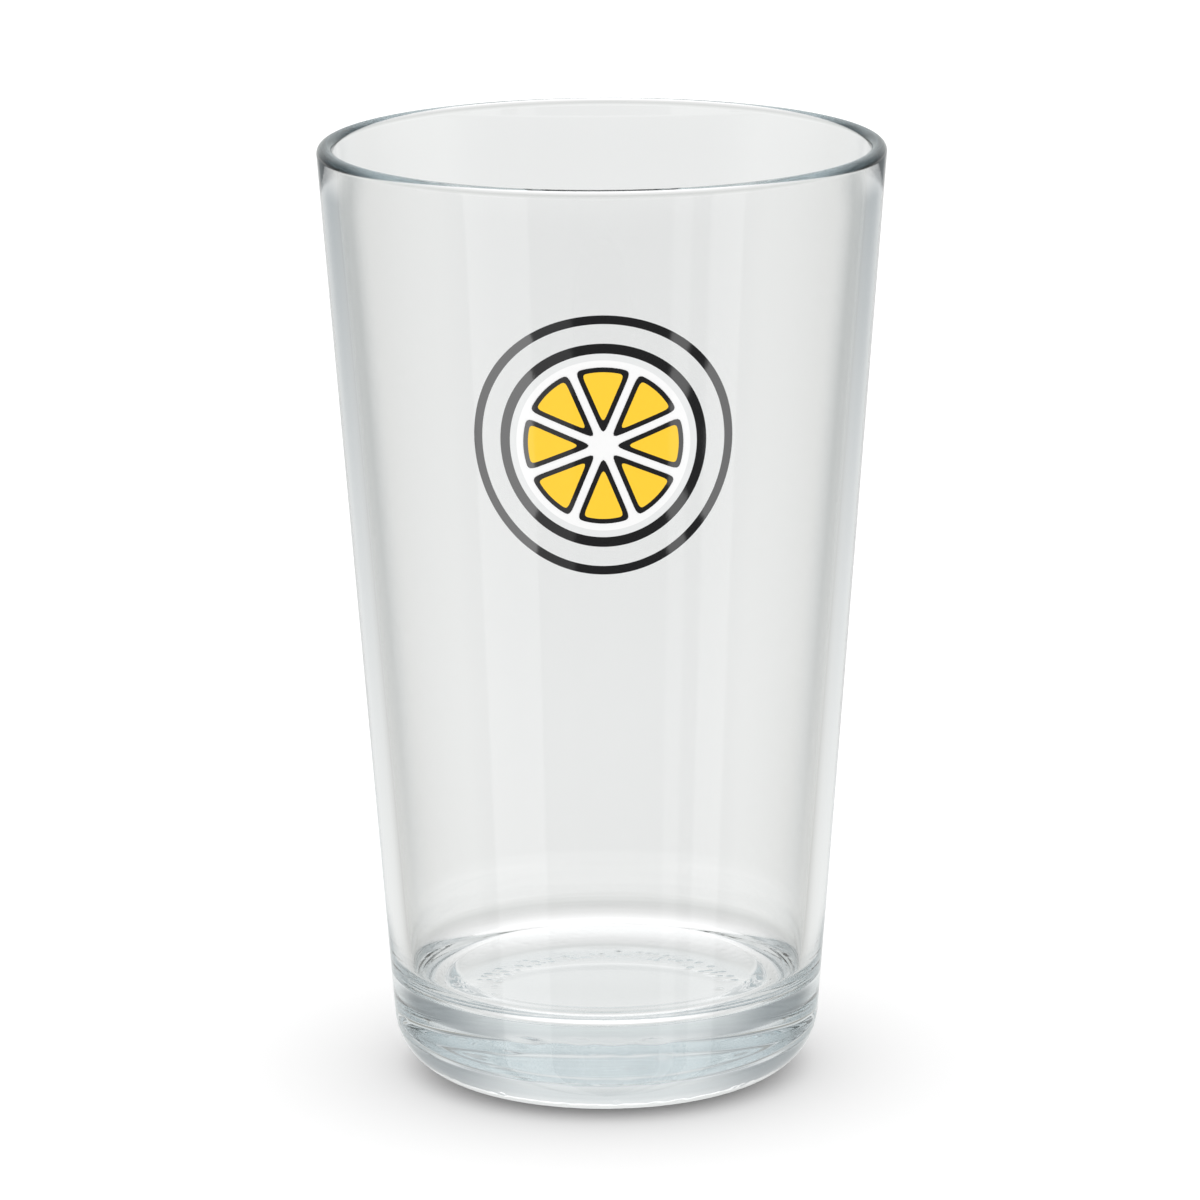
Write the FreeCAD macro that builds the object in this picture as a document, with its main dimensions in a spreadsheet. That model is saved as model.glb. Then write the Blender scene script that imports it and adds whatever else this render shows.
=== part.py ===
"""Conical pint glass with a printed roundel.

The glass is one solid of revolution about Z that stands on the plane Z = 0. The roundel faces -Y: thin layers
of ink, cut from conical shells that lie on the outer wall.
"""

import FreeCAD, Part
import os

import Sketcher

# ---------------------------------------------------------------- driving dimensions, in millimetres

DIMENSIONS = {
    "overall_height": 150.0,
    "mouth_radius": 44.7,
    "base_radius": 33.35,
    "mouth_wall": 2.7,
    "rim_rounding": 1.28,
    "heel_rounding": 10.0,
    "floor_height": 16.0,
    "floor_radius": 24.2,
    "floor_rounding": 3.0,
    "gutter_height": 14.9,
    "gutter_inner_radius": 26.0,
    "gutter_inner_rounding": 1.5,
    "gutter_outer_radius": 31.3,
    "gutter_outer_rounding": 5.0,
    "punt_radius": 23.0,
    "punt_depth": 0.12,
    "ink_thickness": 0.1,
    "print_height": 110.5,
    "outer_ring_radius": 20.4,
    "outer_ring_width": 1.35,
    "inner_ring_radius": 16.0,
    "inner_ring_width": 1.55,
    "white_radius": 13.4,
    "segment_radius": 12.3,
    "segment_gap": 1.2,
    "outline_width": 0.75,
}
SEGMENTS = 8
HALF_TURN = 180.0
SAME_PLACE = 1e-3

doc = FreeCAD.newDocument("pint_glass")
sheet = doc.addObject("Spreadsheet::Sheet", "Dimensions")
for row, (alias, value) in enumerate(DIMENSIONS.items(), start=1):
    sheet.set(f"A{row}", alias)
    sheet.set(f"B{row}", str(value))
    sheet.setAlias(f"B{row}", alias)
doc.recompute()


def cell(alias):
    """The expression that reads one cell of the sheet."""
    return f"Dimensions.{alias}"


HEIGHT = cell("overall_height")
MOUTH = cell("mouth_radius")
BASE = cell("base_radius")
WALL_SLOPE = f"(({MOUTH} - {BASE}) / {HEIGHT})"
PRINT_HEIGHT = cell("print_height")
PRINT_WALL = f"({BASE} + {WALL_SLOPE} * {PRINT_HEIGHT})"


# ---------------------------------------------------------------- the glass

AXIS_ORIGIN = -1
HORIZONTAL_AXIS = -1
VERTICAL_AXIS = -2
START = 1
END = 2
CENTRE = 3


def half_plane_sketch(body, name):
    """An empty sketch in the body's own XZ plane: its X is the radius and its Y the height."""
    sketch = body.newObject("Sketcher::SketchObject", name)
    plane = next(part for part in body.Origin.OriginFeatures if part.Role == "XZ_Plane")
    sketch.AttachmentSupport = (plane, [""])
    sketch.MapMode = "FlatFace"
    return sketch


def close_loop(sketch, edges):
    for index in range(edges):
        following = (index + 1) % edges
        sketch.addConstraint(Sketcher.Constraint("Coincident", index, END, following, START))


def size_of(expression):
    """An expression's present value. None stands for a place on the axis, or on the table."""
    return 0.0 if expression is None else float(sheet.evalExpression(expression))


def pin_start(sketch, edge, radius, height):
    """Places an edge's start point at expressions for its radius and height."""
    measures = (
        ("DistanceX", radius, VERTICAL_AXIS),
        ("DistanceY", height, HORIZONTAL_AXIS),
    )
    for kind, expression, axis in measures:
        if expression is None:
            sketch.addConstraint(Sketcher.Constraint("PointOnObject", edge, START, axis))
            continue
        tag = f"{kind}{edge}"
        number = sketch.addConstraint(
            Sketcher.Constraint(kind, AXIS_ORIGIN, START, edge, START, size_of(expression))
        )
        sketch.renameConstraint(number, tag)
        sketch.setExpression(f"Constraints.{tag}", expression)


def half_section(body, name, corners):
    """A closed half section with straight sides. corners holds (radius, height) expressions, in order."""
    sketch = half_plane_sketch(body, name)
    points = [FreeCAD.Vector(size_of(radius), size_of(height), 0) for radius, height in corners]
    for start, end in zip(points, points[1:] + points[:1]):
        sketch.addGeometry(Part.LineSegment(start, end), False)
    close_loop(sketch, len(corners))
    for index, (radius, height) in enumerate(corners):
        pin_start(sketch, index, radius, height)
    return sketch


def turn(body, kind, name, sketch):
    """A full turn of a half section about the glass's axis: a Revolution adds, a Groove cuts."""
    feature = body.newObject(kind, name)
    feature.Profile = sketch
    feature.ReferenceAxis = (sketch, ["V_Axis"])
    feature.Angle = 2 * HALF_TURN
    doc.recompute()
    return feature


def round_edges(body, name, radius_alias, circles):
    """Fillets the body's circular edges that lie at the given (radius, height) expressions."""
    before = body.Tip
    places = [(size_of(radius), size_of(height)) for radius, height in circles]
    edges = []
    for number, edge in enumerate(before.Shape.Edges, start=1):
        if edge.Degenerated or not isinstance(edge.Curve, Part.Circle):
            continue
        for radius, height in places:
            place_error = abs(edge.Curve.Radius - radius) + abs(edge.Curve.Center.z - height)
            if place_error < SAME_PLACE:
                edges.append(f"Edge{number}")
    if len(edges) != len(circles):
        raise RuntimeError(f"{name}: {len(edges)} edges found of {len(circles)}")
    fillet = body.newObject("PartDesign::Fillet", name)
    fillet.Base = (before, edges)
    fillet.setExpression("Radius", cell(radius_alias))
    doc.recompute()
    return fillet


glass = doc.addObject("PartDesign::Body", "glass_tumbler")
glass.Label = "glass_tumbler"

blank_corners = [(None, None), (BASE, None), (MOUTH, HEIGHT), (None, HEIGHT)]
blank = turn(glass, "PartDesign::Revolution", "blank", half_section(glass, "blank_profile", blank_corners))

# The drinking space. Its floor is a low disc with a gutter round it, where the plunger pressed the glass.
cavity_mouth = f"{MOUTH} - {cell('mouth_wall')}"
floor_edge = (cell("floor_radius"), cell("floor_height"))
gutter_inside = (cell("gutter_inner_radius"), cell("gutter_height"))
gutter_outside = (cell("gutter_outer_radius"), cell("gutter_height"))
cavity_corners = [
    (None, cell("floor_height")),
    floor_edge,
    gutter_inside,
    gutter_outside,
    (cavity_mouth, HEIGHT),
    (None, HEIGHT),
]
cavity = turn(glass, "PartDesign::Groove", "cavity", half_section(glass, "cavity_profile", cavity_corners))

# The punt: the underside's middle is very slightly domed, so that the glass stands on a ring.
punt_sketch = half_plane_sketch(glass, "punt_profile")
punt_edge = FreeCAD.Vector(DIMENSIONS["punt_radius"], 0, 0)
punt_top = FreeCAD.Vector(0, DIMENSIONS["punt_depth"], 0)
punt_middle = FreeCAD.Vector(punt_edge.x / 2, punt_top.y * 3 / 4, 0)
axis_foot = FreeCAD.Vector(0, 0, 0)
punt_sketch.addGeometry(Part.LineSegment(axis_foot, punt_edge), False)
punt_sketch.addGeometry(Part.Arc(punt_edge, punt_middle, punt_top), False)
punt_sketch.addGeometry(Part.LineSegment(punt_top, axis_foot), False)
close_loop(punt_sketch, 3)
punt_sketch.addConstraint(Sketcher.Constraint("PointOnObject", 1, CENTRE, VERTICAL_AXIS))
pin_start(punt_sketch, 0, None, None)
pin_start(punt_sketch, 1, cell("punt_radius"), None)
pin_start(punt_sketch, 2, None, cell("punt_depth"))
punt = turn(glass, "PartDesign::Groove", "punt", punt_sketch)

round_edges(glass, "heel", "heel_rounding", [(BASE, None)])
round_edges(glass, "gutter_outer_corner", "gutter_outer_rounding", [gutter_outside])
round_edges(glass, "gutter_inner_corner", "gutter_inner_rounding", [gutter_inside])
round_edges(glass, "floor_rim", "floor_rounding", [floor_edge])
round_edges(glass, "rim", "rim_rounding", [(MOUTH, HEIGHT), (cavity_mouth, HEIGHT)])


# ---------------------------------------------------------------- the printed roundel

# The roundel is drawn as discs and bars that run from the axis out through the wall, and each
# ink is what they share with a shell of the wall. A disc is a cone whose tip lies on the far
# wall. That wraps it round the glass at very nearly its own length, as a flat transfer lies.

SHELL_MARGIN = 25.0
REACH = 60.0


def wall_cone(name, layers):
    """The outside of the glass beside the roundel, thickened by a number of ink layers."""
    cone = doc.addObject("Part::Cone", name)
    cover = f"{cell('ink_thickness')} * {layers}"
    cone.setExpression("Radius1", f"{PRINT_WALL} - {WALL_SLOPE} * {SHELL_MARGIN} + {cover}")
    cone.setExpression("Radius2", f"{PRINT_WALL} + {WALL_SLOPE} * {SHELL_MARGIN} + {cover}")
    cone.Height = 2 * SHELL_MARGIN
    cone.setExpression("Placement.Base.z", f"{PRINT_HEIGHT} - {SHELL_MARGIN}")
    return cone


def disc(name, radius):
    """A round of the artwork: a cone along -Y that has the given radius where it leaves the wall."""
    cone = doc.addObject("Part::Cone", name)
    cone.setExpression("Radius1", f"({radius}) / 2")
    cone.setExpression("Radius2", f"({radius}) / 2 * (1 + {REACH} / {PRINT_WALL})")
    cone.Height = REACH
    cone.Placement.Rotation = FreeCAD.Rotation(FreeCAD.Vector(1, 0, 0), HALF_TURN / 2)
    cone.setExpression("Placement.Base.z", PRINT_HEIGHT)
    return cone


def spokes(name, width):
    """The bars between the segments, each one across the whole roundel."""
    half_length = cell("outer_ring_radius")
    half_width = f"({width}) / 2"
    bars = []
    for index in range(SEGMENTS // 2):
        angle = HALF_TURN * (2 * index + 1) / SEGMENTS
        bar = doc.addObject("Part::Box", f"{name}_{index}")
        bar.setExpression("Length", f"2 * {half_length}")
        bar.Width = REACH
        bar.setExpression("Height", width)
        bar.Placement.Rotation = FreeCAD.Rotation(FreeCAD.Vector(0, 1, 0), angle)
        # The corner that the box turns about, with the bar's middle on the roundel's centre.
        along = f"cos({angle} deg)"
        across = f"sin({angle} deg)"
        bar.setExpression("Placement.Base.x", f"-{half_length} * {along} - {half_width} * {across}")
        bar.Placement.Base.y = -REACH
        rise = f"{half_length} * {across} - {half_width} * {along}"
        bar.setExpression("Placement.Base.z", f"{PRINT_HEIGHT} + {rise}")
        bars.append(bar)
    fan = doc.addObject("Part::MultiFuse", name)
    fan.Shapes = bars
    return fan


def combine(kind, name, base, tool):
    result = doc.addObject(kind, name)
    result.Base = base
    result.Tool = tool
    return result


def ring(name, radius, width):
    outer = disc(f"{name}_outside", radius)
    inner = disc(f"{name}_inside", f"{radius} - {width}")
    return combine("Part::Cut", name, outer, inner)


wall = wall_cone("bare_wall", 0)
first_surface = wall_cone("first_surface", 1)
second_surface = wall_cone("second_surface", 2)
first_layer = combine("Part::Cut", "first_layer", first_surface, wall)
second_layer = combine("Part::Cut", "second_layer", second_surface, first_surface)

white_disc = disc("white_disc", cell("white_radius"))
white = combine("Part::Common", "print_white_base", first_layer, white_disc)

inner_edge = f"{cell('inner_ring_radius')} - {cell('inner_ring_width')}"
grey_ring = combine("Part::Cut", "grey_ring", disc("grey_disc", inner_edge), white_disc)
grey = combine("Part::Common", "print_grey_shade", first_layer, grey_ring)

segment_gap = cell("segment_gap")
outline_width = cell("outline_width")
segments = combine(
    "Part::Cut", "segments", disc("segment_disc", cell("segment_radius")), spokes("gaps", segment_gap)
)
fills = combine(
    "Part::Cut",
    "fills",
    disc("fill_disc", f"{cell('segment_radius')} - {outline_width}"),
    spokes("wide_gaps", f"{segment_gap} + 2 * {outline_width}"),
)
yellow = combine("Part::Common", "print_yellow_fill", second_layer, fills)

outlines = combine("Part::Cut", "outlines", segments, fills)
outer_ring = ring("outer_ring", cell("outer_ring_radius"), cell("outer_ring_width"))
inner_ring = ring("inner_ring", cell("inner_ring_radius"), cell("inner_ring_width"))
black = doc.addObject("Part::Compound", "print_black_lines")
black.Links = [
    combine("Part::Common", "printed_outer_ring", first_layer, outer_ring),
    combine("Part::Common", "printed_inner_ring", first_layer, inner_ring),
    combine("Part::Common", "printed_outlines", second_layer, outlines),
]
doc.recompute()


# ---------------------------------------------------------------- checks and files

failed = [part.Name for part in doc.Objects if "Invalid" in part.State or "Error" in part.State]
if failed:
    raise RuntimeError(f"objects that did not compute: {failed}")

sub_parts = [glass, white, grey, black, yellow]
for sub_part in sub_parts:
    shape = sub_part.Shape
    if shape.isNull() or not shape.isValid():
        raise RuntimeError(f"{sub_part.Label} has no valid shape")

os.makedirs("parts", exist_ok=True)
for sub_part in sub_parts:
    shape = sub_part.Shape
    shape.exportStep(f"parts/{sub_part.Label}.step")
    print(f"{sub_part.Label}: {len(shape.Solids)} solids, {shape.Volume:.2f} mm3, {shape.BoundBox}")
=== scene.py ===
"""Looks of the pint glass: clear pressed glass, a printed citrus roundel and a white studio.

Lengths are in metres, in the CAD frame: the glass stands on Z = 0 and the roundel faces -Y.
"""

import math
import random

import bpy
from mathutils import Matrix, Vector


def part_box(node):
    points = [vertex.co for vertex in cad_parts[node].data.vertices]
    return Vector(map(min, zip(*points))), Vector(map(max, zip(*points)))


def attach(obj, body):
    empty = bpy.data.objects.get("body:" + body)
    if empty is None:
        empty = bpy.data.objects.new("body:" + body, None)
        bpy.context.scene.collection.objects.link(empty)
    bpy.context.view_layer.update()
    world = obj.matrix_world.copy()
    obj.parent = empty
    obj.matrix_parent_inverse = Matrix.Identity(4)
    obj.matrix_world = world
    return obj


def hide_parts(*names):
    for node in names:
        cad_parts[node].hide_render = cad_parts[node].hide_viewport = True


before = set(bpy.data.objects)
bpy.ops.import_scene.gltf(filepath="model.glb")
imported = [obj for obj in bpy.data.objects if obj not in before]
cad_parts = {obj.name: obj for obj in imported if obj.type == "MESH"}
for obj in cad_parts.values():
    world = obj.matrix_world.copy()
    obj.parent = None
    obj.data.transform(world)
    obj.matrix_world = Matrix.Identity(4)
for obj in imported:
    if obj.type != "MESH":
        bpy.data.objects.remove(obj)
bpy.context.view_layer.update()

MM = 0.001
FULL_TURN = 2 * math.pi

# The glass, as it is in the CAD model.
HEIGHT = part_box("glass_tumbler")[1].z
MOUTH_RADIUS = 44.7 * MM
BASE_RADIUS = 33.35 * MM
MOUTH_WALL = 2.7 * MM
RIM_ROUNDING = 1.28 * MM
HEEL_ROUNDING = 10 * MM
FLOOR_HEIGHT = 16 * MM
FLOOR_RADIUS = 24.2 * MM
FLOOR_ROUNDING = 3 * MM
GUTTER_HEIGHT = 14.9 * MM
GUTTER_INNER_RADIUS = 26 * MM
GUTTER_INNER_ROUNDING = 1.5 * MM
GUTTER_OUTER_RADIUS = 31.3 * MM
GUTTER_OUTER_ROUNDING = 5 * MM
PUNT_RADIUS = 23 * MM
PUNT_DEPTH = 0.12 * MM

# The glass's mesh: its steps round the axis, its longest straight step and its largest arc steps.
# ON_TABLE is the height under which a point of the profile touches the table.
GLASS_STEPS = 480
LONGEST_RUN = 6 * MM
ARC_TURN = math.radians(6)
HEEL_TURN = math.radians(2.4)
PUNT_STEPS = 56
PUNT_KEPT_STEP = 4
ON_TABLE = 0.001 * MM
SHARP_ANGLE = math.radians(40)

# The mould's stipples. A row's place is its distance from the edge of the flat underside: inwards
# where it is negative, and round the heel where it is positive. Jitter is in dot spacings.
STIPPLE_SEED = 7
STIPPLE_COUNT = 80
STIPPLE_ROWS = [place * MM for place in (-6, -4.5, -3, 3, 4.5, 6, 7.5)]
STIPPLE_JITTER = 0.25
STIPPLE_WEAKEST = 0.1
STIPPLE_SIZE = 0.5 * MM
STIPPLE_DEPTH = 0.12 * MM
STIPPLE_LEAST = 0.01 * STIPPLE_DEPTH

# The roundel, measured along the wall.
PRINT_HEIGHT = 110.5 * MM
OUTER_RING_RADIUS = 20.4 * MM
OUTER_RING_WIDTH = 1.35 * MM
INNER_RING_RADIUS = 16 * MM
INNER_RING_WIDTH = 1.55 * MM
WHITE_RADIUS = 13.4 * MM
SEGMENT_RADIUS = 12.3 * MM
SEGMENT_GAP = 1.2 * MM
OUTLINE_WIDTH = 0.75 * MM
SEGMENTS = 8
INK_SUNK = 0.02 * MM
INK_LAYER = 0.06 * MM

# The roundel's mesh: points on outlines, loops across areas, and a filled area's smallest loop.
CIRCLE_STEPS = 192
SEGMENT_SIDE_STEPS = 14
SEGMENT_RIND_STEPS = 20
SEGMENT_SMOOTHINGS = 3
LINE_LOOPS = 2
DISC_LOOPS = 9
DISC_CORE = 0.1
FIELD_LOOPS = 5
FIELD_CORE = 0.2

# The materials.
GLASS_IOR = 1.52
GLASS_TINT = (0.76, 0.88, 0.92, 1)
GLASS_TINT_DENSITY = 2.5
INK_WHITE = (0.87, 0.87, 0.87)
INK_GREY = (0.74, 0.75, 0.75)
INK_BLACK = (0.008, 0.008, 0.009)
INK_YELLOW = (0.94, 0.59, 0.045)
INK_IOR = 1.5
INK_BLACK_IOR = 2.6
INK_ROUGHNESS = 0.06
INK_GRAIN_SCALE = 900
INK_GRAIN_DETAIL = 2.0
INK_GRAIN_DEPTH = 0.004 * MM
INK_BACK_LIGHT = 0.85

# The studio's light, by elevation in degrees: what the clear glass shows through itself.
NADIR = -90
ZENITH = 90
ROOM = [
    (NADIR, (1.30, 1.30, 1.30)),
    (-55, (1.20, 1.20, 1.20)),
    (-40, (0.86, 0.86, 0.855)),
    (-28, (0.72, 0.73, 0.72)),
    (-20, (0.85, 0.86, 0.85)),
    (-15, (0.93, 0.94, 0.935)),
    (-6, (0.86, 0.87, 0.865)),
    (4, (0.75, 0.79, 0.79)),
    (12, (0.68, 0.71, 0.715)),
    (22, (0.76, 0.78, 0.78)),
    (34, (0.74, 0.76, 0.77)),
    (42, (0.48, 0.51, 0.52)),
    (52, (0.46, 0.49, 0.50)),
    (62, (0.78, 0.81, 0.81)),
    (ZENITH, (0.84, 0.86, 0.86)),
]

# Regions of the room, in degrees. Each pair is an angle where the region fades out and one where
# it is full: first in azimuth, then in elevation. HALF_SIDE is how far each of the room's four
# sides goes either way from its middle.
GAP = [(9, 21), (-20, -10), (-4, -10)]
CORNER = [(12, 40), (-8, 0), (34, 22)]
FLANK = [(30, 55), (-28, -20), (2, -6)]
UNLIT = [(75, 45), (-26, -20), (12, 2)]
LOW_FRONT = [(72, 62), (20, 6)]
GAP_COLOUR = (0.38, 0.415, 0.43, 1)
CORNER_COLOUR = (0.32, 0.35, 0.365, 1)
FLANK_COLOUR = (0.36, 0.36, 0.335, 1)
HALF_SIDE = 45.0
DOME = 1.1
PAPER = 1.0
FRONT_DARK = 0.06

# Each lamp's left and right edge, in degrees from straight ahead of the print, and its brightness.
FRONT_LAMPS = [(-58, -30, 0.95), (-30, -13, 0.2), (29, 37, 0.6), (45, 60, 0.8)]
LAMP_EDGE = 1

# The table under the glass.
TABLE_REACH = 4.0
TABLE_DROP = 0.05 * MM
TABLE_WHITE = 0.97
TABLE_GLOW = 0.18

# The camera, as fitted to the photograph.
CAMERA_DISTANCE = 1.011
CAMERA_RISE = 0.3204
CAMERA_AIM = (-0.00067, 0, 0.0764)
CAMERA_LEAN = math.radians(-0.33)
CAMERA_LENS = 196.4
CAMERA_SENSOR = 36
LIGHT_BOUNCES = 128


# ---------------------------------------------------------------- node trees

class Nodes:
    """Short ways to write a node tree's sums."""

    def __init__(self, tree):
        self.tree = tree

    def add(self, kind, **values):
        node = self.tree.nodes.new(kind)
        for name, value in values.items():
            setattr(node, name, value)
        return node

    def plug(self, socket, value):
        """Link a socket to another, or give it a plain value."""
        if isinstance(value, bpy.types.NodeSocket):
            self.tree.links.new(value, socket)
        else:
            socket.default_value = value

    def maths(self, operation, *values):
        node = self.add("ShaderNodeMath", operation=operation)
        for socket, value in zip(node.inputs, values):
            self.plug(socket, value)
        return node.outputs[0]

    def product(self, first, *others):
        for other in others:
            first = self.maths("MULTIPLY", first, other)
        return first

    def ramp(self, value, start, end, kind="SMOOTHSTEP"):
        """A change from 0 to 1 as value goes from start to end."""
        node = self.add("ShaderNodeMapRange", interpolation_type=kind)
        for name, number in (("Value", value), ("From Min", start), ("From Max", end)):
            self.plug(node.inputs[name], number)
        return node.outputs["Result"]

    def region(self, azimuth, elevation, edges):
        """How much of a region of the room there is, from 0 outside it to 1 inside."""
        sides, *levels = edges
        ramps = [self.ramp(elevation, *level) for level in levels]
        return self.product(self.ramp(azimuth, *sides), *ramps)

    def by_height(self, elevation, stops):
        """A colour that goes evenly from stop to stop. stops holds (elevation, colour)."""
        node = self.add("ShaderNodeValToRGB")
        ramp = node.color_ramp
        while len(ramp.elements) < len(stops):
            ramp.elements.new(1.0)
        for element, (height, colour) in zip(ramp.elements, stops):
            element.position = (height - NADIR) / (ZENITH - NADIR)
            element.color = (*colour, 1)
        self.plug(node.inputs["Fac"], self.ramp(elevation, NADIR, ZENITH, "LINEAR"))
        return node.outputs["Color"]

    def mix(self, share, first, second):
        """A colour from first, where share is 0, to second, where it is 1."""
        node = self.add("ShaderNodeMix", data_type="RGBA")
        colours = [socket for socket in node.inputs if socket.type == "RGBA"]
        self.plug(node.inputs["Factor"], share)
        self.plug(colours[0], first)
        self.plug(colours[1], second)
        return next(socket for socket in node.outputs if socket.type == "RGBA")


# ---------------------------------------------------------------- materials

def grey(value):
    return (value, value, value, 1)


def new_material(name):
    material = bpy.data.materials.new(name)
    material.use_nodes = True
    return material, material.node_tree.nodes["Principled BSDF"]


def clear_glass():
    """Clear glass with a faint blue-green tint, which shows only where the glass is thick."""
    material, shader = new_material("clear_glass")
    shader.inputs["Base Color"].default_value = grey(1)
    shader.inputs["Roughness"].default_value = 0
    shader.inputs["IOR"].default_value = GLASS_IOR
    shader.inputs["Transmission Weight"].default_value = 1
    tree = material.node_tree
    body = tree.nodes.new("ShaderNodeVolumeAbsorption")
    body.inputs["Color"].default_value = GLASS_TINT
    body.inputs["Density"].default_value = GLASS_TINT_DENSITY
    tree.links.new(body.outputs["Volume"], tree.nodes["Material Output"].inputs["Volume"])
    return material


def fired_ink(name, colour, ior):
    """Glossy fired ink with a fine unevenness, from noise in the object's own space, and painted
    light on its back.
    """
    material, shader = new_material(name)
    shader.inputs["Base Color"].default_value = (*colour, 1)
    shader.inputs["Roughness"].default_value = INK_ROUGHNESS
    shader.inputs["IOR"].default_value = ior
    nodes = Nodes(material.node_tree)
    place = nodes.add("ShaderNodeTexCoord")
    grain = nodes.add("ShaderNodeTexNoise")
    bump = nodes.add("ShaderNodeBump")
    nodes.plug(grain.inputs["Scale"], INK_GRAIN_SCALE)
    nodes.plug(grain.inputs["Detail"], INK_GRAIN_DETAIL)
    nodes.plug(grain.inputs["Vector"], place.outputs["Object"])
    nodes.plug(bump.inputs["Distance"], INK_GRAIN_DEPTH)
    nodes.plug(bump.inputs["Height"], grain.outputs["Fac"])
    nodes.plug(shader.inputs["Normal"], bump.outputs["Normal"])

    # The ink's back lies in the glass. It is given painted light: it glows in its own colour for
    # rays that come straight through the glass, standing in for the light that isn't traced
    # through glass to a matt surface.
    rays = nodes.add("ShaderNodeLightPath").outputs
    straight = nodes.maths("LESS_THAN", rays["Glossy Depth"], 0.5)
    strength = nodes.product(rays["Is Transmission Ray"], straight, INK_BACK_LIGHT)
    shader.inputs["Emission Color"].default_value = (*colour, 1)
    nodes.plug(shader.inputs["Emission Strength"], strength)
    material.cycles.emission_sampling = "NONE"
    return material


# ---------------------------------------------------------------- shapes

def mesh_piece(name, points, faces, material, slot, node):
    """A smooth mesh piece that stands for one CAD node."""
    mesh = bpy.data.meshes.new(name)
    mesh.from_pydata(points, [], faces)
    mesh.polygons.foreach_set("use_smooth", [True] * len(faces))
    mesh.update()
    mesh.set_sharp_from_angle(angle=SHARP_ANGLE)
    piece = bpy.data.objects.new(name, mesh)
    bpy.context.scene.collection.objects.link(piece)
    mesh.materials.append(material)
    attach(piece, "root")
    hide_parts(node)


def rounded_outline(corners):
    """Points along a path of straight runs whose corners are arcs.

    corners holds (x, z, radius of the arc, largest step on the arc).
    """
    path = [Vector(corners[0][:2])]
    for before, (x, z, radius, turn), after in zip(corners, corners[1:], corners[2:]):
        here = Vector((x, z))
        back = (Vector(before[:2]) - here).normalized()
        on = (Vector(after[:2]) - here).normalized()
        half = back.angle(on) / 2
        start = here + back * radius / math.tan(half)
        end = here + on * radius / math.tan(half)
        centre = here + (back + on).normalized() * radius / math.sin(half)
        add_run(path, start)
        sweep = (start - centre).angle_signed(end - centre)
        steps = max(1, math.ceil(abs(sweep) / turn))
        for step in range(1, steps + 1):
            spoke = start - centre
            spoke.rotate(Matrix.Rotation(-sweep * step / steps, 2))
            path.append(centre + spoke)
    add_run(path, Vector(corners[-1][:2]))
    return path


def add_run(path, end):
    """Go on straight from the path's last point to end, in even steps."""
    start = path[-1]
    steps = max(1, math.ceil((end - start).length / LONGEST_RUN))
    path += [start.lerp(end, step / steps) for step in range(1, steps + 1)]


def glass_profile():
    """The half section, from the middle of the underside round the rim to the cavity's middle.

    No stipples reach the inner half of the hollow under the base, so it keeps only some steps.
    """
    across = [
        step / PUNT_STEPS
        for step in range(PUNT_STEPS)
        if step % PUNT_KEPT_STEP == 0 or step > PUNT_STEPS / 2
    ]
    punt = [Vector((PUNT_RADIUS * share, PUNT_DEPTH * (1 - share ** 2))) for share in across]
    corners = [
        (PUNT_RADIUS, 0, 0, ARC_TURN),
        (BASE_RADIUS, 0, HEEL_ROUNDING, HEEL_TURN),
        (MOUTH_RADIUS, HEIGHT, RIM_ROUNDING, ARC_TURN),
        (MOUTH_RADIUS - MOUTH_WALL, HEIGHT, RIM_ROUNDING, ARC_TURN),
        (GUTTER_OUTER_RADIUS, GUTTER_HEIGHT, GUTTER_OUTER_ROUNDING, ARC_TURN),
        (GUTTER_INNER_RADIUS, GUTTER_HEIGHT, GUTTER_INNER_ROUNDING, ARC_TURN),
        (FLOOR_RADIUS, FLOOR_HEIGHT, FLOOR_ROUNDING, ARC_TURN),
        (0, FLOOR_HEIGHT, 0, ARC_TURN),
    ]
    return punt + rounded_outline(corners)


def stipple(points, foot):
    """Dent the underside with the mould's stipples, in rows along and inside the heel.

    foot is the radius at which the flat underside ends and the heel starts.
    """
    draw = random.Random(STIPPLE_SEED)
    rows = []
    for row_place in STIPPLE_ROWS:
        dots = [
            (
                draw.uniform(-STIPPLE_JITTER, STIPPLE_JITTER),
                draw.uniform(STIPPLE_WEAKEST, 1.0) ** 2,
            )
            for _ in range(STIPPLE_COUNT)
        ]
        rows.append((row_place, draw.random(), dots))
    for number, (x, y, z) in enumerate(points):
        radius = math.hypot(x, y)
        beyond = max(0, radius - foot)
        off_heel = abs(math.hypot(beyond, HEEL_ROUNDING - z) - HEEL_ROUNDING)
        if off_heel > 2 * PUNT_DEPTH or radius == 0:
            continue
        tilt = math.atan2(beyond, HEEL_ROUNDING - z)
        place = tilt * HEEL_ROUNDING if beyond else radius - foot
        turn = math.atan2(y, x) / FULL_TURN * STIPPLE_COUNT
        depth = 0
        for row_place, stagger, dots in rows:
            nearest = round(turn - stagger)
            shift, strength = dots[nearest % STIPPLE_COUNT]
            across = (turn - stagger - nearest - shift) / STIPPLE_COUNT * FULL_TURN * radius
            away = (across ** 2 + (place - row_place) ** 2) / STIPPLE_SIZE ** 2
            depth += STIPPLE_DEPTH * strength * math.exp(-away)
        if depth > STIPPLE_LEAST:
            share = (radius - depth * math.sin(tilt)) / radius
            points[number] = (x * share, y * share, z + depth * math.cos(tilt))


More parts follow.
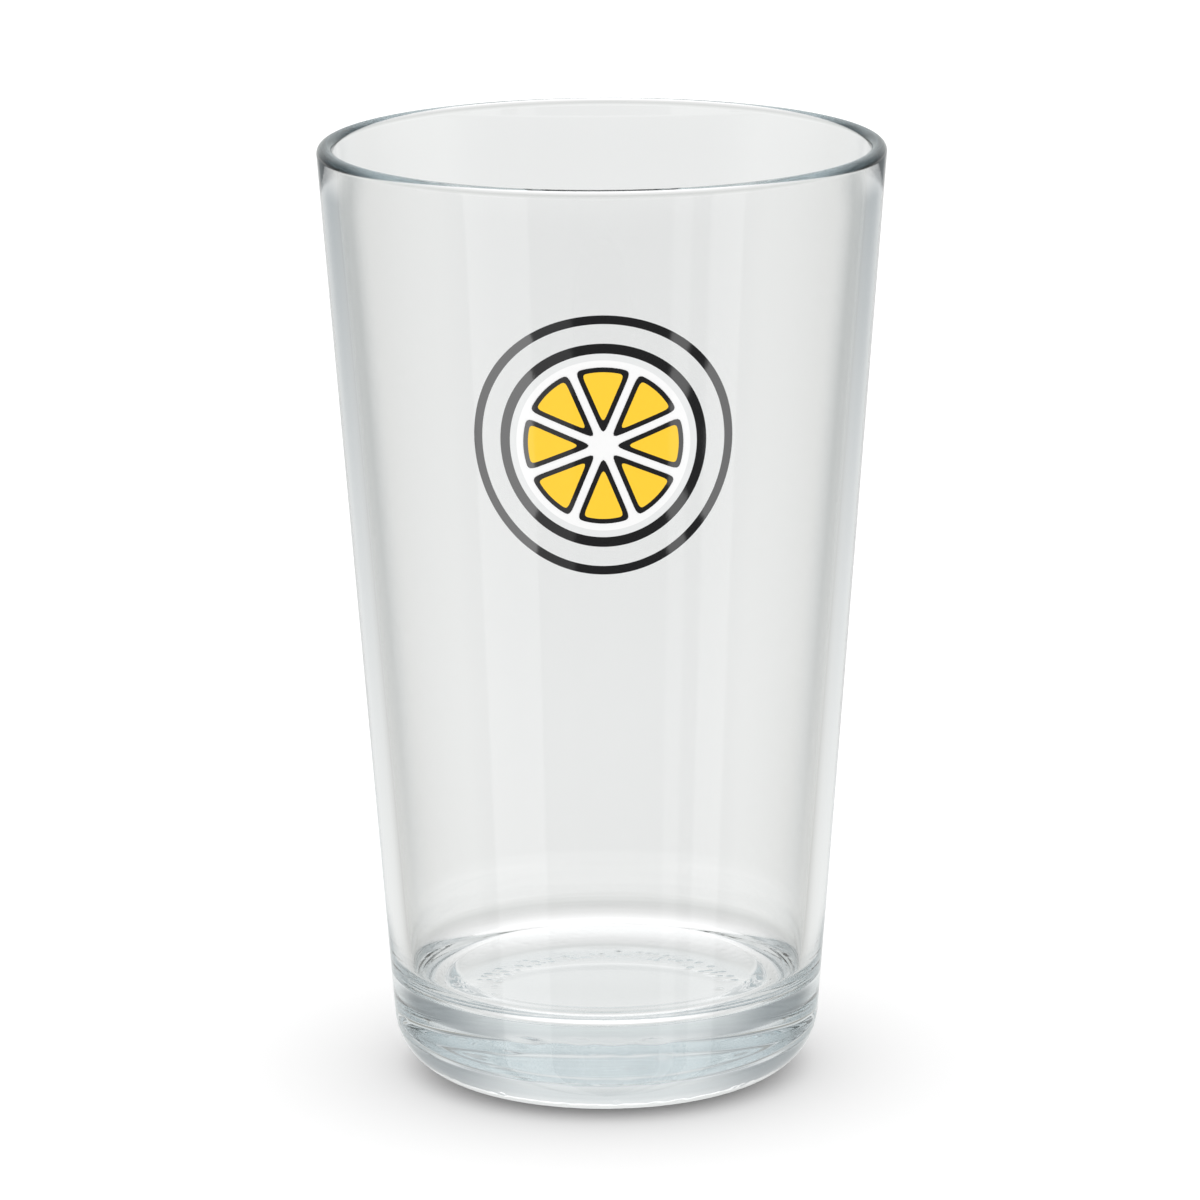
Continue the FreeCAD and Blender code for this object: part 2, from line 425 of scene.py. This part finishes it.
def glass_body():
    """The profile turned about Z, closed at its two ends on the axis, with its stipples."""
    profile = glass_profile()
    points = [(0, 0, profile[0].y)]
    rings = profile[1:-1]
    for radius, height in rings:
        for step in range(GLASS_STEPS):
            angle = FULL_TURN * step / GLASS_STEPS
            points.append((radius * math.cos(angle), radius * math.sin(angle), height))
    points.append((0, 0, profile[-1].y))
    stipple(points, max(radius for radius, height in profile if height < ON_TABLE))
    last = len(points) - 1
    last_ring = last - GLASS_STEPS
    faces = []
    for step in range(GLASS_STEPS):
        following = (step + 1) % GLASS_STEPS
        faces.append((0, 1 + following, 1 + step))
        for low in range(1, last_ring, GLASS_STEPS):
            high = low + GLASS_STEPS
            faces.append((low + step, low + following, high + following, high + step))
        faces.append((last_ring + step, last_ring + following, last))
    mesh_piece("glass", points, faces, clear_glass(), "clear_glass", "glass_tumbler")


def outer_radius(height):
    """The outer wall's radius at a height."""
    return BASE_RADIUS + (MOUTH_RADIUS - BASE_RADIUS) * height / HEIGHT


def on_wall(point, lift):
    """A point of the flat artwork, (across, up), laid on the wall and lifted off it."""
    across, up = point
    height = PRINT_HEIGHT + up
    angle = across / outer_radius(PRINT_HEIGHT)
    radius = outer_radius(height) + lift
    return (radius * math.sin(angle), -radius * math.cos(angle), height)


def middle_of(loop):
    return [sum(point[axis] for point in loop) / len(loop) for axis in (0, 1)]


class Ink:
    """Collects the printed shapes of one colour as thin closed solids."""

    def __init__(self, name, colour, node, slot, ior=INK_IOR):
        self.name = name
        self.material = fired_ink(slot, colour, ior)
        self.node = node
        self.slot = slot
        self.points = []
        self.faces = []

    def band(self, loops, low, high, filled):
        """The area between the first and last of some matching loops, low to high off the wall.

        filled closes the first loop with a point in its middle.
        """
        count = len(loops[0])
        base = len(self.points)
        for lift in (low, high):
            for loop in loops:
                self.points += [on_wall(point, lift) for point in loop]

        def index(side, ring, step):
            return base + (side * len(loops) + ring) * count + step % count

        edge = len(loops) - 1
        for step in range(count):
            for ring in range(edge):
                for side in (0, 1):
                    quad = (
                        index(side, ring, step),
                        index(side, ring + 1, step),
                        index(side, ring + 1, step + 1),
                        index(side, ring, step + 1),
                    )
                    self.faces.append(quad if side else quad[::-1])
            self.add_edge(index, edge, step, (1, 0))
            if not filled:
                self.add_edge(index, 0, step, (0, 1))
        if filled:
            for side, lift in ((0, low), (1, high)):
                centre = len(self.points)
                self.points.append(on_wall(middle_of(loops[0]), lift))
                for step in range(count):
                    fan = (centre, index(side, 0, step), index(side, 0, step + 1))
                    self.faces.append(fan if side else fan[::-1])

    def add_edge(self, index, ring, step, sides):
        """One face of the layer's thickness, along a loop."""
        one, other = sides
        after = step + 1
        self.faces.append(
            (
                index(one, ring, step),
                index(other, ring, step),
                index(other, ring, after),
                index(one, ring, after),
            )
        )

    def finish(self):
        mesh_piece(self.name, self.points, self.faces, self.material, self.slot, self.node)


def circle(radius):
    angles = [FULL_TURN * step / CIRCLE_STEPS for step in range(CIRCLE_STEPS)]
    return [(radius * math.cos(angle), radius * math.sin(angle)) for angle in angles]


def between(inner, outer, steps):
    """Loops from inner to outer in even steps, both included."""
    return [
        [
            (a[0] + (b[0] - a[0]) * step / steps, a[1] + (b[1] - a[1]) * step / steps)
            for a, b in zip(inner, outer)
        ]
        for step in range(steps + 1)
    ]


def wedge(turn, inset):
    """The outline of one citrus segment, pointing along turn, with its sides moved in by inset."""
    half_angle = math.pi / SEGMENTS
    gap = SEGMENT_GAP / 2 + inset
    reach = SEGMENT_RADIUS - inset
    corner_angle = half_angle - math.asin(gap / reach)
    tip = Vector((gap / math.sin(half_angle), 0))

    def rind(angle):
        return Vector((reach * math.cos(angle), reach * math.sin(angle)))

    # Two straight sides with the rind's arc between them, then rounded by smoothing.
    shares = [step / SEGMENT_SIDE_STEPS for step in range(SEGMENT_SIDE_STEPS)]
    outline = [tip.lerp(rind(-corner_angle), share) for share in shares]
    for step in range(SEGMENT_RIND_STEPS):
        outline.append(rind(corner_angle * (2 * step / SEGMENT_RIND_STEPS - 1)))
    outline += [rind(corner_angle).lerp(tip, share) for share in shares]
    count = len(outline)
    for _ in range(SEGMENT_SMOOTHINGS):
        outline = [
            outline[step] / 2 + (outline[step - 1] + outline[(step + 1) % count]) / 4
            for step in range(count)
        ]
    spin = Matrix.Rotation(turn, 2)
    return [tuple(spin @ point) for point in outline]


def scaled(loop, share):
    """A loop made smaller about its middle."""
    middle = middle_of(loop)
    return [
        tuple(middle[axis] + (point[axis] - middle[axis]) * share for axis in (0, 1))
        for point in loop
    ]


def printed_roundel():
    """A citrus slice in two rings, in four inks and two layers."""
    first = (-INK_SUNK, INK_LAYER)
    second = (INK_LAYER / 2, 2 * INK_LAYER)
    white = Ink("ink_white", INK_WHITE, "print_white_base", "white_ink")
    disc = between(circle(WHITE_RADIUS * DISC_CORE), circle(WHITE_RADIUS), DISC_LOOPS)
    white.band(disc, *first, True)
    grey_shade = Ink("ink_grey", INK_GREY, "print_grey_shade", "grey_ink")
    inner_edge = INNER_RING_RADIUS - INNER_RING_WIDTH
    grey_shade.band(between(circle(WHITE_RADIUS), circle(inner_edge), LINE_LOOPS), *first, False)
    black = Ink("ink_black", INK_BLACK, "print_black_lines", "black_ink", INK_BLACK_IOR)
    rings = ((OUTER_RING_RADIUS, OUTER_RING_WIDTH), (INNER_RING_RADIUS, INNER_RING_WIDTH))
    for radius, width in rings:
        black.band(between(circle(radius - width), circle(radius), LINE_LOOPS), *first, False)
    yellow = Ink("ink_yellow", INK_YELLOW, "print_yellow_fill", "yellow_ink")
    for number in range(SEGMENTS):
        turn = FULL_TURN * number / SEGMENTS
        outside = wedge(turn, 0)
        inside = wedge(turn, OUTLINE_WIDTH)
        black.band(between(inside, outside, LINE_LOOPS), *second, False)
        yellow.band(between(scaled(inside, FIELD_CORE), inside, FIELD_LOOPS), *second, True)
    for ink in (white, grey_shade, black, yellow):
        ink.finish()


# ---------------------------------------------------------------- studio

def studio_world():
    """White paper all round for the camera. The glass sees the room that such a set stands in."""
    world = bpy.data.worlds.new("studio")
    bpy.context.scene.world = world
    world.use_nodes = True
    tree = world.node_tree
    nodes = Nodes(tree)
    place = nodes.add("ShaderNodeTexCoord")
    split = nodes.add("ShaderNodeSeparateXYZ")
    tree.links.new(place.outputs["Generated"], split.inputs[0])
    x, y, z = split.outputs
    elevation = nodes.maths("DEGREES", nodes.maths("ARCSINE", z))
    azimuth = nodes.maths("DEGREES", nodes.maths("ARCTAN2", x, y))

    # From the lit table up the pale walls, past the shade over the set, to the bright ceiling.
    room = nodes.by_height(elevation, ROOM)

    # Between the lit cards on its four sides the room's lower part is greyer.
    off_wall = nodes.maths("ABSOLUTE", nodes.maths("WRAP", azimuth, HALF_SIDE, -HALF_SIDE))
    room = nodes.mix(nodes.region(off_wall, elevation, GAP), room, GAP_COLOUR)

    # The room's four corners are its darkest part.
    room = nodes.mix(nodes.region(off_wall, elevation, CORNER), room, CORNER_COLOUR)

    # What the glass mirrors is darker than what shows straight through it: all but the far side
    # of the set is greyer.
    rays = nodes.add("ShaderNodeLightPath").outputs
    mirrored = nodes.maths("MINIMUM", rays["Glossy Depth"], 1.0)
    flank = nodes.region(nodes.maths("ABSOLUTE", azimuth), elevation, FLANK)
    room = nodes.mix(nodes.product(flank, mirrored), room, FLANK_COLOUR)

    # The side that the print faces is dark up to its lights.
    towards_front = nodes.maths("ARCTAN2", x, nodes.maths("MULTIPLY", y, -1.0))
    front = nodes.maths("DEGREES", towards_front)
    off_front = nodes.maths("ABSOLUTE", front)
    unlit = nodes.region(off_front, elevation, UNLIT)
    room = nodes.mix(nodes.product(unlit, mirrored), room, grey(FRONT_DARK))

    # Only the outside of the glass and its inks mirror the tall narrow lamps there.
    lamps = grey(FRONT_DARK)
    for left, right, brightness in FRONT_LAMPS:
        past_left = nodes.ramp(front, left - LAMP_EDGE, left + LAMP_EDGE)
        before_right = nodes.ramp(front, right + LAMP_EDGE, right - LAMP_EDGE)
        lamps = nodes.mix(nodes.product(past_left, before_right), lamps, grey(brightness))
    outside = nodes.mix(nodes.region(off_front, elevation, LOW_FRONT), room, lamps)

    # A ray that goes through the glass can count as glossy too, so transmission comes after.
    seen = nodes.mix(rays["Is Glossy Ray"], grey(DOME), outside)
    seen = nodes.mix(rays["Is Transmission Ray"], seen, room)
    seen = nodes.mix(rays["Is Camera Ray"], seen, grey(PAPER))
    tree.links.new(seen, tree.nodes["Background"].inputs["Color"])
    world.cycles.sampling_method = "NONE"


def studio_floor():
    """A white matt table, which the glass neither mirrors nor shows: it sees the world instead."""
    mesh = bpy.data.meshes.new("floor")
    side = TABLE_REACH
    corners = [(-side, -side), (side, -side), (side, side), (-side, side)]
    mesh.from_pydata([(x, y, -TABLE_DROP) for x, y in corners], [], [(0, 1, 2, 3)])
    floor = bpy.data.objects.new("floor", mesh)
    bpy.context.scene.collection.objects.link(floor)
    material, shader = new_material("floor")
    shader.inputs["Base Color"].default_value = grey(TABLE_WHITE)
    shader.inputs["Roughness"].default_value = 1
    shader.inputs["Specular IOR Level"].default_value = 0
    shader.inputs["Emission Color"].default_value = grey(1)
    shader.inputs["Emission Strength"].default_value = TABLE_GLOW
    mesh.materials.append(material)
    floor.visible_transmission = False
    floor.visible_glossy = False


def studio_camera():
    """The camera stands in front of the roundel and looks down on it through a long lens."""
    camera = bpy.data.objects.new("camera", bpy.data.cameras.new("camera"))
    bpy.context.scene.collection.objects.link(camera)
    camera.data.sensor_width = CAMERA_SENSOR
    camera.data.lens = CAMERA_LENS
    camera.location = (0, -CAMERA_DISTANCE, CAMERA_RISE)
    facing = (Vector(CAMERA_AIM) - camera.location).to_track_quat("-Z", "Y")
    leaning = facing.to_matrix() @ Matrix.Rotation(CAMERA_LEAN, 3, "Z")
    camera.rotation_euler = leaning.to_euler()
    bpy.context.scene.camera = camera


def render_look():
    """Plain colours, and enough bounces for light that stays in the glass for long."""
    scene = bpy.context.scene
    scene.view_settings.view_transform = "Standard"
    scene.cycles.max_bounces = LIGHT_BOUNCES
    scene.cycles.transmission_bounces = LIGHT_BOUNCES
    scene.cycles.glossy_bounces = LIGHT_BOUNCES
    scene.cycles.caustics_refractive = False
    scene.cycles.caustics_reflective = False


glass_body()
printed_roundel()
studio_world()
studio_floor()
studio_camera()
render_look()
